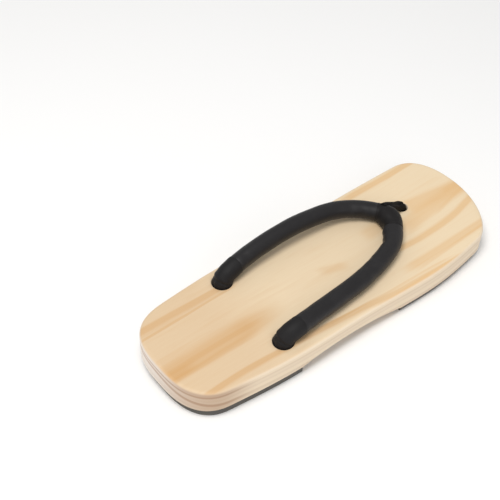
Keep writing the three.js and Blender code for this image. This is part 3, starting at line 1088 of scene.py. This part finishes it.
@dataclass
class Holes:
    """The three bores of the board and the recesses under them."""

    form: BoardForm
    rear_from_heel: float = 71.4
    inner_margin: float = 12.1
    outer_margin: float = 14.2
    front_from_toe: float = 49.7
    front_share: float = 0.130
    rear_radius: float = 6.9
    front_radius: float = 4.6
    bevel: float = 0.6
    recess_radius: float = 8.2
    recess_depth: float = 6.0
    pad_clearance: float = 0.6
    bevel_steps: int = 7
    bevel_turn: float = 12.0
    flare: float = 3.0
    flare_slope: float = 0.32
    cloth_gap: float = 0.2
    centring: float = 0.05  # how far the outline's own middle lies off the axis

    @property
    def rear_x(self) -> float:
        """Place of the rear bores along the board."""
        return -self.form.length / 2 + self.rear_from_heel

    @property
    def front_x(self) -> float:
        """Place of the front bore along the board."""
        return self.form.length / 2 - self.front_from_toe

    def places(self) -> dict[str, tuple[float, float, float]]:
        """Returns the place along, place across and radius of each bore, by name."""
        x = self.rear_x
        return {
            "inner": (x, self.form.half_width(Side.INNER, x) - self.inner_margin - self.centring, self.rear_radius),
            "outer": (x, self.outer_margin - self.form.half_width(Side.OUTER, x) - self.centring, self.rear_radius),
            "front": (self.front_x, self.front_share * self.form.ball_width - self.centring, self.front_radius),
        }

    def recess_top(self, x: float) -> float:
        """Returns the height of the recess's roof."""
        return self.form.underside(x) + self.recess_depth

    def keep_inside(self, point: Vector, name: str, tread: float) -> Vector:
        """Draws a point of cloth that lies below the tread into a bore.

        Args:
            point: Place before.
            name: Name of the bore.
            tread: Height of the lowest cloth beside the bore.

        Returns:
            Place after.
        """
        x, y, bore = self.places()[name]
        off = Vector((point.x - x, point.y - y, 0.0))
        room = bore - self.cloth_gap + self.bevel * max(0.0, 1 - (tread - point.z) / self.bevel)
        if point.z >= tread or off.length <= room:
            return point
        off *= room / off.length
        return Vector((x + off.x, y + off.y, point.z))

    def cutter(self, name: str) -> Piece:
        """Turned cutter of one bore, with its worn rim and its recess.

        Args:
            name: Name of the bore.

        Returns:
            The cutter.
        """
        x, y, radius = self.places()[name]
        top, roof, worn = self.form.tread(x), self.recess_top(x), self.bevel
        profile = [(self.recess_radius, -2.0), (self.recess_radius, roof), (radius, roof)]
        for step in range(self.bevel_steps):
            angle = math.radians(self.bevel_turn * step)
            profile.append((radius + worn * (1 - math.cos(angle)), top - worn + worn * math.sin(angle)))
        reach, height = profile[-1]
        profile.append((reach + self.flare, height + self.flare * self.flare_slope))
        return lathe("cutter_" + name, profile, x, y)


@dataclass
class Board:
    """The wooden body, with a rounded tread edge, a hollowed waist and three bores."""

    form: BoardForm
    holes: Holes
    edge_radius: float = 2.4
    edge_steps: int = 9
    foot_chamfer: float = 0.5

    def build(self) -> Piece:
        """Builds the board's mesh.

        Returns:
            The object.
        """
        form = self.form
        layers = [(lambda n: self.foot_chamfer, form.underside),
                  (lambda n: 0.0, lambda x: form.underside(x) + self.foot_chamfer)]
        for i in range(self.edge_steps + 1):
            angle = math.pi / 2 * i / self.edge_steps
            inset = self.edge_radius * (1 - math.cos(angle))
            drop = self.edge_radius * (1 - math.sin(angle))
            layers.append((lambda n, inset=inset: inset, lambda x, drop=drop: form.tread(x) - drop))
        board = form.plate(layers).to_object("board_wood")
        for name in self.holes.places():
            cut(board, self.holes.cutter(name))
        soften(board, 34.0)
        return board

    def dress(self, board: Piece, pine: Material) -> None:
        """Gives the board its wood and its place in the frame."""
        settle_piece(board, [pine], "board", Slot.WOOD)


@dataclass
class Pad:
    """A rubber pad glued under the board, open round the knots."""

    name: str
    form: BoardForm
    holes: Holes
    start: float
    end: float
    thickness: float
    side_inset: float = 1.5
    end_inset: float = 2.3
    edge: float = 0.5

    def build(self) -> Piece:
        """Builds the pad's mesh.

        Returns:
            The object.
        """
        def inset(normal: Vector) -> float:
            """Returns how far the pad stands back under the board."""
            return self.side_inset + (self.end_inset - self.side_inset) * normal.x ** 2

        layers = []
        for i in range(4):
            angle = math.pi / 2 * i / 3
            extra = self.edge * (1 - math.sin(angle))
            height = self.edge * (1 - math.cos(angle))
            layers.append((lambda n, extra=extra: inset(n) + extra, lambda x, height=height: height))
        layers.append((inset, lambda x: self.thickness))
        pad = self.form.plate(layers, across=2).to_object(self.name + "_rubber")
        cut(pad, self._window(), "INTERSECT")
        radius = self.holes.recess_radius + self.holes.pad_clearance
        for name, (x, y, _) in self.holes.places().items():
            if self.start - radius < x < self.end + radius:
                cut(pad, lathe("window_" + name, [(radius, -2.0), (radius, self.thickness + 2.0)], x, y))
        soften(pad, 30.0)
        return pad

    def _window(self) -> Piece:
        """Returns the block that keeps the pad's own stretch of the outline."""
        sketch = Sketch()
        wide, low, high = self.form.ball_width, -3.0, self.thickness + 3.0
        corners = ((self.start, -wide), (self.end, -wide), (self.end, wide), (self.start, wide))
        bottom = sketch.ring(Vector((x, y, low)) for x, y in corners)
        top = sketch.ring(Vector((x, y, high)) for x, y in corners)
        sketch.bridge(bottom, top)
        sketch.face(tuple(reversed(bottom)))
        sketch.face(tuple(top))
        return sketch.to_object("window_" + self.name)

    def dress(self, pad: Piece, rubber: Material) -> None:
        """Gives the pad its rubber and its place in the frame."""
        settle_piece(pad, [rubber], self.name, Slot.RUBBER)


# ---- Strap ----


@dataclass(frozen=True)
class Crease:
    """A soft trough across the strap: its middle along, width, turn round the tube, spread and depth."""

    along: float
    width: float
    turn: float
    spread: float
    depth: float


@dataclass
class Strap:
    """The padded cloth tube from one rear bore round the bend to the other, with its end covers."""

    form: BoardForm
    holes: Holes
    diameter: float = 12.2
    neck_depth: float = 4.5
    neck_length: float = 6.5
    neck_swell: float = 0.2
    cover_length: float = 20.0
    cover_step: float = 0.35
    bend_from_front: float = 19.9
    sleeve_wall: float = 1.0
    sleeve_outer: float = 12.0
    sleeve_inner: float = 10.0
    sleeve_swell: float = 1.5
    pressed: float = 1.5
    lift: float = 0.12
    sides: int = 52
    lip_steps: tuple[float, ...] = (0.08, 0.2, 0.4)
    lip_room: float = 0.6
    lip_reach: float = 1.3
    cover_tuck: float = 0.35
    neck_tuck: float = 0.45
    pleats: int = 6
    puckers: int = 26
    stitch_line: float = 1.9
    pressed_at: float = -16.0
    pressed_spread: float = 7.5
    bore_reach: float = 1.0
    free_height: float = 0.9
    rest_height: float = 0.75
    rest_slope: float = 6.0
    bend_row: tuple[float, float, float] = (0.999, 0.150, 0.54)
    outer_run: tuple[tuple[float, float, float], ...] = (
        (0.004, -1.002, 0.06), (0.024, -1.016, 0.36), (0.074, -1.036, 0.57), (0.199, -0.991, 0.57),
        (0.390, -0.934, 0.57), (0.583, -0.849, 0.56), (0.785, -0.648, 0.54), (0.869, -0.501, 0.54),
        (0.937, -0.288, 0.54), (0.985, -0.042, 0.54))
    inner_run: tuple[tuple[float, float, float], ...] = (
        (0.004, 1.000, 0.06), (0.024, 1.003, 0.37), (0.074, 1.016, 0.60), (0.199, 1.063, 0.80),
        (0.390, 1.100, 0.93), (0.583, 1.083, 0.93), (0.785, 0.974, 0.76), (0.898, 0.739, 0.66),
        (0.969, 0.480, 0.58), (0.993, 0.330, 0.55))
    creases: tuple[Crease, ...] = (
        Crease(23.5, 2.4, 2.2, 1.1, 0.22), Crease(30.0, 3.0, 1.2, 0.9, 0.14), Crease(60.0, 5.0, 2.4, 1.2, 0.14),
        Crease(83.0, 3.6, 1.9, 1.3, 0.34), Crease(91.0, 3.0, 0.6, 1.0, 0.16), Crease(113.0, 3.2, 0.2, 0.9, 0.40),
        Crease(120.0, 2.6, 0.0, 0.8, 0.45), Crease(161.0, 2.8, 0.1, 0.8, 0.40), Crease(168.0, 3.4, 0.5, 0.9, 0.24),
        Crease(196.0, 5.0, 1.5, 1.1, 0.16), Crease(226.0, 5.0, 0.8, 1.0, 0.16), Crease(256.0, 2.6, 0.9, 1.1, 0.22))

    def __post_init__(self) -> None:
        """Lays the middle line of the strap."""
        places = self.holes.places()
        (x, inner, _), (_, outer, _) = places["inner"], places["outer"]
        self.reach = self.holes.front_x - self.bend_from_front - x
        self.middle, self.half = (inner + outer) / 2, (inner - outer) / 2
        top = self.form.tread(x) - self.neck_depth
        self.bend = self.place(*self.bend_row)
        points = [Vector((x, outer, top)), *(self.place(*row) for row in self.outer_run), self.bend]
        points += [self.place(*row) for row in reversed(self.inner_run)]
        points.append(Vector((x, inner, top)))
        self.course = Course(points, 0.55)
        gaps = [(place - self.bend).length for place in self.course.places]
        self.bend_run = self.course.at(gaps.index(min(gaps)))
        self.radius = self.diameter / 2

    def place(self, along: float, across: float, rise: float) -> Vector:
        """Returns a point of the middle line, by shares of the reach, the half span and the diameter."""
        x = self.holes.rear_x + along * self.reach
        return Vector((x, self.middle + across * self.half, self.form.tread(x) + rise * self.diameter))

    def swell(self, run: float) -> float:
        """Returns how far the sleeve stands proud at a distance along the strap."""
        off = run - self.bend_run
        share = min(1.0, abs(off) / (self.sleeve_outer if off < 0 else self.sleeve_inner))
        return self.sleeve_swell * (1 + math.cos(math.pi * share)) / 2

    def cloth_at(self, run: float) -> int:
        """Returns the index of the cloth at a distance: both necks have the covers' cloth."""
        return int(min(run, self.course.length - run) < self.neck_length + 2.0)

    def crumple(self, run: float, angle: float) -> float:
        """Relief of the padded cloth: listed creases and a faint unevenness.

        Args:
            run: Distance along the strap.
            angle: Turn round the tube.

        Returns:
            Millimetres that the cloth stands out.
        """
        relief = 0.0
        for crease in self.creases:
            off = (run - crease.along) / crease.width
            if abs(off) < 3:
                turn = math.remainder(angle - crease.turn, math.tau) / crease.spread
                relief -= crease.depth * math.exp(-off * off - turn * turn)
                relief += 0.4 * crease.depth * math.exp(-(abs(off) - 1.6) ** 2 * 2 - turn * turn)
        ring = Vector((math.cos(angle), math.sin(angle), run * 0.07))
        relief += 0.11 * noise.noise(ring * 1.3) + 0.035 * noise.noise(Vector((ring.x * 3, ring.y * 3, run * 0.45)))
        return relief

    def body(self, run: float, angle: float) -> tuple[float, float]:
        """Half width and half height of the strap's own cloth.

        Args:
            run: Distance along the strap.
            angle: Turn round the tube.

        Returns:
            The two half sizes.
        """
        end = min(run, self.course.length - run)
        radius = self.radius + self.crumple(run, angle)
        if end < self.cover_length + 0.8:
            hidden = ease(end, self.cover_length - 1.2, self.cover_length + 0.6)
            radius = mix(self.radius - self.cover_tuck, radius, hidden)
        if end < self.neck_length + 1.5:
            gathered = ease(end, self.neck_length + 0.5, self.neck_length - 1.1)
            folds = 0.34 - 0.42 * abs(math.sin(self.pleats * angle))
            radius = self.radius - self.neck_tuck + gathered * (self.neck_tuck + self.neck_swell + folds)
        from_bend = run - self.bend_run
        inside = min(from_bend + self.sleeve_outer, self.sleeve_inner - from_bend)
        radius += self.swell(run) * ease(inside, 0.0, 0.6) - self.sleeve_wall * ease(inside, 0.5, 1.7)
        flat = self.pressed * swelling(from_bend, self.pressed_at, self.pressed_spread)
        return radius + flat * max(0.0, math.cos(angle)), radius - 0.15 * flat

    def cover(self, first: float) -> Callable[[float, float], tuple[float, float]]:
        """Shape of one end cover.

        Args:
            first: Distance along the strap of the cover's lip at the bore.

        Returns:
            The function that gives its half sizes.
        """
        last = first + self.cover_length - self.neck_length

        def reach(run: float, angle: float) -> tuple[float, float]:
            """Returns the half sizes of the cover at a distance and an angle."""
            lip = min(run - first, last - run)
            edge = round_lip(lip, self.lip_reach)
            radius = self.radius - 0.25 + (self.cover_step + 0.15) * edge
            stitch = 0.05 * swelling(lip, self.stitch_line, 0.5)
            pucker = 0.06 * math.cos(self.puckers * angle) * swelling(lip, self.stitch_line, 1.1)
            swell = 0.10 * noise.noise(Vector((math.cos(angle), math.sin(angle), run * 0.16 + 7)) * 1.6)
            bore = run - first if first < self.bend_run else last - run
            roll = 0.26 * swelling(bore, 1.0, 0.8) - 0.14 * swelling(bore, 3.2, 1.0)
            radius += pucker - stitch + swell * edge + roll * edge
            return radius, radius

        return reach

    def settle(self, point: Vector) -> Vector:
        """Keeps a point of the cloth clear of the board and lets low cloth rest on it.

        Args:
            point: Place before.

        Returns:
            Place after.
        """
        tread = self.form.tread(point.x) + self.lift
        if point.z >= tread + self.free_height:
            return point
        for name in ("inner", "outer"):
            x, y, bore = self.holes.places()[name]
            if Vector((point.x - x, point.y - y, 0.0)).length < bore + self.holes.bevel + self.bore_reach:
                return self.holes.keep_inside(point, name, tread)
        low = Vector(point)
        low.z = tread + max(0.0, point.z - tread - self.rest_height) * self.rest_slope
        return low

    def build(self) -> Piece:
        """Builds the strap's mesh: its tube and its two covers.

        Returns:
            The object.
        """
        sketch = Sketch()
        tube(sketch, self.course.frames(), self.sides, self.body, self.settle, slot=self.cloth_at)
        span = self.cover_length - self.neck_length
        for first in (self.neck_length, self.course.length - self.cover_length):
            frames = self.stretch(first, first + span, self.lip_steps)
            tube(sketch, frames, self.sides, self.cover(first), self.settle, slot=1)
        return sketch.to_object("strap_padded", 50.0)

    def stretch(self, first: float, last: float, lips: Sequence[float]) -> list[Frame]:
        """Frames of a cloth worn over the strap, closer together at its two lips.

        Args:
            first: Distance along the strap of the first lip.
            last: Distance of the last lip.
            lips: Small steps in from each lip, in order.

        Returns:
            The frames in order.
        """
        frames = self.course.frames()
        inner = [f for f in frames if first + self.lip_room < f[3] < last - self.lip_room]
        starts = [self.near(frames, first + step) for step in lips]
        return [*starts, *inner, *(self.near(frames, last - step) for step in reversed(lips))]

    def near(self, frames: list[Frame], run: float) -> Frame:
        """Frame at any distance along the strap.

        Args:
            frames: The even frames.
            run: The distance.

        Returns:
            The frame between its two neighbours.
        """
        place = min(max(run / self.course.length * (len(frames) - 1), 0.0), len(frames) - 1.001)
        i = int(place)
        a, b, u = frames[i], frames[i + 1], place - i
        return a[0].lerp(b[0], u), a[1].lerp(b[1], u).normalized(), a[2].lerp(b[2], u).normalized(), run

    def dress(self, strap: Piece, cloth: Material, cover: Material) -> None:
        """Gives the strap its cloths and its place in the frame."""
        settle_piece(strap, [cloth, cover], "strap", Slot.STRAP)


@dataclass
class ToeTie:
    """The cloth sleeve round the strap's bend and the folded strip that goes down the front bore."""

    strap: Strap
    strip_root: float = 4.0
    strip_width: float = 7.2
    strip_thickness: float = 4.0
    strip_depth: float = 6.0
    strip_sides: int = 44
    lift: float = 0.1
    lip_steps: tuple[float, ...] = (0.05, 0.15, 0.35)
    lip_reach: float = 0.9
    hem_line: float = 1.7
    fold_spread: float = 5.0
    rim_reach: float = 0.4
    strip_run: tuple[tuple[float, float], ...] = ((0.0, 0.96), (0.30, 0.77), (0.65, 0.40), (0.95, 0.10))

    def sleeve(self, sketch: Sketch) -> None:
        """Adds the sleeve, with a rolled hem at both ends.

        Args:
            sketch: Where the sleeve goes.
        """
        strap = self.strap
        first, last = strap.bend_run - strap.sleeve_outer, strap.bend_run + strap.sleeve_inner

        def reach(run: float, angle: float) -> tuple[float, float]:
            """Returns the half sizes of the sleeve at a distance and an angle."""
            lip = min(run - first, last - run)
            edge = round_lip(lip, self.lip_reach)
            radius = strap.radius - 0.3 + 0.45 * edge + strap.swell(run)
            hem = -0.04 * swelling(lip, self.hem_line, 0.5)
            folds = 0.14 * math.sin(4 * angle + run * 0.45) * swelling(run, strap.bend_run, self.fold_spread)
            soft = 0.16 * noise.noise(Vector((math.cos(angle), math.sin(angle), run * 0.13 + 3)) * 1.4)
            radius += (hem + folds + soft) * edge
            return radius, radius

        tube(sketch, strap.stretch(first, last, self.lip_steps), strap.sides, reach, strap.settle)

    def strip(self, sketch: Sketch) -> None:
        """Adds the folded strip from the top of the bend into its bore.

        Args:
            sketch: Where the strip goes.
        """
        strap = self.strap
        x, y, bore = strap.holes.places()["front"]
        top = strap.form.tread(x)
        root = strap.near(strap.course.frames(), strap.bend_run + self.strip_root)[0]
        summit = root.z + strap.radius

        def on_the_way(share: float, rise: float) -> Vector:
            """Returns a point of the strip's way from its root to its bore."""
            return Vector((mix(root.x, x, share), mix(root.y, y, share), mix(top, summit, rise)))

        points = [on_the_way(*row) for row in self.strip_run]
        points += [Vector((x, y, top - self.strip_depth / 2)), Vector((x, y, top - self.strip_depth))]
        course = Course(points, 0.35)

        def reach(run: float, angle: float) -> tuple[float, float]:
            """Returns the half sizes of the strip at a distance and an angle."""
            share = run / course.length
            wide = self.strip_width / 2 + 0.9 * ease(share, 0.40, 0.0) + 0.4 * ease(share, 0.62, 0.90)
            high = self.strip_thickness / 2 + 0.35 + 1.9 * ease(share, 0.60, 0.90)
            corner = (math.cos(angle) ** 4 + math.sin(angle) ** 4) ** -0.25
            square = mix(corner, 1.0, 0.25 + 0.75 * ease(share, 0.55, 0.85))
            groove = 1 - 0.30 * math.exp(-(math.cos(angle) + 0.20) ** 2 / 0.030) * (math.sin(angle) > 0)
            pleat = 1 + 0.03 * math.cos(9 * angle + run * 0.3)
            return wide * square * pleat, high * square * pleat * groove

        def settle(point: Vector) -> Vector:
            """Keeps the strip clear of the board."""
            tread = strap.form.tread(point.x) + self.lift
            off = Vector((point.x - x, point.y - y, 0.0)).length
            if point.z < tread and off > bore + strap.holes.bevel + self.rim_reach:
                return Vector((point.x, point.y, tread))
            return strap.holes.keep_inside(point, "front", tread)

        tube(sketch, course.frames(), self.strip_sides, reach, settle, slot=1)

    def build(self) -> Piece:
        """Builds the tie's mesh.

        Returns:
            The object.
        """
        sketch = Sketch()
        self.sleeve(sketch)
        self.strip(sketch)
        return sketch.to_object("toe_tie_cloth", 50.0)

    def dress(self, tie: Piece, cloth: Material, fold: Material) -> None:
        """Gives the tie its cloths and its place in the frame."""
        settle_piece(tie, [cloth, fold], "toe_tie", Slot.TIE)


@dataclass
class Knot:
    """The end of an inner cord, tied in two crossed turns under a bore."""

    name: str
    holes: Holes
    cord_top: float
    cord_radius: float = 2.3
    turn_reach: float = 5.0
    turn_radius: float = 2.5
    lean: float = 16.0
    turn_steps: int = 14
    sides: int = 30

    def build(self) -> Piece:
        """Builds the knot's mesh: one twisted cord, down, twice round and out.

        Returns:
            The object.
        """
        x, y, _ = self.holes.places()[self.name]
        lean = math.radians(self.lean)
        rise = self.turn_reach * math.sin(lean)
        middle = self.holes.recess_top(x) - CLEARANCE - self.turn_radius - rise - 0.25
        points = [Vector((x, y, self.cord_top)), Vector((x, y, mix(middle, self.cord_top, 0.5))),
                  Vector((x + 0.8, y, middle + rise * 0.6))]
        steps = self.turn_steps
        for turn in (1, -1):
            for i in range(steps):
                angle = math.tau * i / steps
                reach = self.turn_reach * ease(i + (0 if turn > 0 else steps), -3.0, 3.0)
                points.append(Vector((x + reach * math.cos(angle), y + reach * math.sin(angle),
                                      middle + turn * rise * math.sin(angle))))
        points += [Vector((x + 3.6, y + 1.2, middle - 1.2)), Vector((x + 1.2, y + 0.6, middle - 2.6)),
                   Vector((x, y, middle - self.turn_radius - 0.6))]
        course = Course(points, 0.45)

        def reach(run: float, angle: float) -> tuple[float, float]:
            """Returns the half sizes of the twisted cord at a distance and an angle."""
            strand = 0.13 * abs(math.sin(1.5 * (angle + run * 0.55)))
            radius = self.cord_radius * (0.92 + strand)
            return radius, radius

        sketch = Sketch()
        tube(sketch, course.frames(), self.sides, reach)
        return sketch.to_object("knot_" + self.name, 60.0)

    def dress(self, knot: Piece, cord: Material) -> None:
        """Gives the knot its cord and its place in the frame."""
        settle_piece(knot, [cord], self.name + "_knot", Slot.CORD)


def settle_piece(piece: Piece, materials: Sequence[Material], node: str, slot: Slot) -> None:
    """Gives a piece its materials and says what it stands for.

    Args:
        piece: The piece.
        materials: Its materials in order.
        node: The node of the part that it replaces.
        slot: The record's material slot; not used.
    """
    shares = [face.material_index for face in piece.data.polygons]
    piece.data.materials.clear()
    for material in materials:
        piece.data.materials.append(material)
    piece.data.polygons.foreach_set("material_index", shares)
    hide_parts(node)
    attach(piece, "root")
    LOG.info("%s: %d faces, stands for %s", piece.name, len(piece.data.polygons), node)


# ---- Studio ----


@dataclass(frozen=True)
class Studio:
    """The plain pale floor, soft lights and the camera."""

    eye: Triple = (-315.39, -297.57, 485.70)
    turn: Triple = (43.7669, -1.2910, -38.9015)
    lens: float = 70.888
    floor_tone: float = 0.95
    sky: float = 0.52
    key_place: Triple = (-0.42, -0.12, 1.20)
    key_size: float = 0.6
    key_power: float = 10.0
    key_tint: Triple = (1.0, 0.985, 0.96)
    fill_place: Triple = (-0.20, -1.05, 0.65)
    fill_size: float = 0.9
    fill_power: float = 1.8
    fill_tint: Triple = (0.97, 0.985, 1.0)
    floor_sides: int = 96
    floor_rings: tuple[tuple[float, float], ...] = (
        (400.0, -0.02), (1500.0, -0.02), (3200.0, -0.02), (4300.0, 160.0), (4900.0, 900.0))

    def floor(self) -> None:
        """Lays the floor, a wide round sheet with a rising rim."""
        sketch = Sketch()
        rings = [sketch.circle(radius, height, self.floor_sides) for radius, height in self.floor_rings]
        for low, high in zip(rings, rings[1:]):
            sketch.bridge(high, low)
        sketch.close(rings[0], 1)
        floor = sketch.to_object("studio_floor", 60.0)
        material, sheet, shader = new_material("studio_floor")
        point = sheet.add("TexCoord").outputs["Object"]
        tone = sheet.span(sheet.noise(point, 3.0), 0.0, 1.0, self.floor_tone - 0.004, self.floor_tone + 0.004)
        sheet.feed(shader.inputs["Base Color"], tone)
        shader.inputs["Roughness"].default_value = 0.9
        shader.inputs["Specular IOR Level"].default_value = 0.1
        floor.data.materials.append(material)

    @staticmethod
    def lamp(name: str, place: Triple, size: float, power: float, tint: Triple) -> None:
        """Hangs one soft area light that points at the origin.

        Args:
            name: Its name.
            place: Where it hangs, in metres.
            size: Length of its side, in metres.
            power: Its power in watts.
            tint: Its colour.
        """
        light = bpy.data.lights.new(name, "AREA")
        light.shape = "DISK"
        light.size = size
        light.energy = power
        light.color = tint
        lamp = bpy.data.objects.new(name, light)
        lamp.location = place
        lamp.rotation_euler = (-Vector(place)).to_track_quat("-Z", "Y").to_euler()
        bpy.context.scene.collection.objects.link(lamp)

    def build(self) -> None:
        """Builds floor, lights, sky and camera."""
        scene = bpy.context.scene
        self.floor()
        self.lamp("key_light", self.key_place, self.key_size, self.key_power, self.key_tint)
        self.lamp("fill_light", self.fill_place, self.fill_size, self.fill_power, self.fill_tint)
        world = bpy.data.worlds.new("studio_sky")
        world.use_nodes = True
        background = world.node_tree.nodes["Background"]
        background.inputs["Color"].default_value = (1.0, 1.0, 1.0, 1.0)
        background.inputs["Strength"].default_value = self.sky
        scene.world = world
        scene.view_settings.view_transform = "Standard"
        camera = bpy.data.cameras.new("camera")
        camera.lens = self.lens
        camera.sensor_width = 36.0
        camera.clip_start, camera.clip_end = 0.01, 50.0
        holder = bpy.data.objects.new("camera", camera)
        holder.location = Vector(self.eye) * MM
        holder.rotation_euler = Euler([math.radians(a) for a in self.turn])
        scene.collection.objects.link(holder)
        scene.camera = holder


def main() -> None:
    """Loads the frame, builds every piece in order and reports it."""
    logging.basicConfig(level=logging.INFO, format="%(name)s: %(message)s")
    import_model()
    Studio().build()
    effects = Effects()
    pine = PineFinish().make(effects)
    rubber = RubberFinish().make(effects)
    cloth, cover = STRAP_CLOTH.make(effects), COVER_CLOTH.make(effects)
    tie_cloth, fold, cord = TIE_CLOTH.make(effects), FOLD_CLOTH.make(effects), CORD_CLOTH.make(effects)

    form = BoardForm()
    holes = Holes(form)
    board = Board(form, holes)
    board.dress(board.build(), pine)
    rear, front = form.pad_gap
    beyond = form.length / 2 + 5  # past the board's own ends
    heel = Pad("heel_pad", form, holes, -beyond, rear, form.heel_pad)
    heel.dress(heel.build(), rubber)
    fore = Pad("fore_pad", form, holes, front, beyond, form.fore_pad, end_inset=3.0)
    fore.dress(fore.build(), rubber)
    strap = Strap(form, holes)
    strap.dress(strap.build(), cloth, cover)
    tie = ToeTie(strap)
    tie.dress(tie.build(), tie_cloth, fold)
    rear_top = form.tread(holes.rear_x) - strap.neck_depth - CLEARANCE
    front_top = form.tread(holes.front_x) - tie.strip_depth - CLEARANCE
    for name, top in (("inner", rear_top), ("outer", rear_top), ("front", front_top)):
        knot = Knot(name, holes, top)
        knot.dress(knot.build(), cord)


if __name__ == "__main__":
    main()
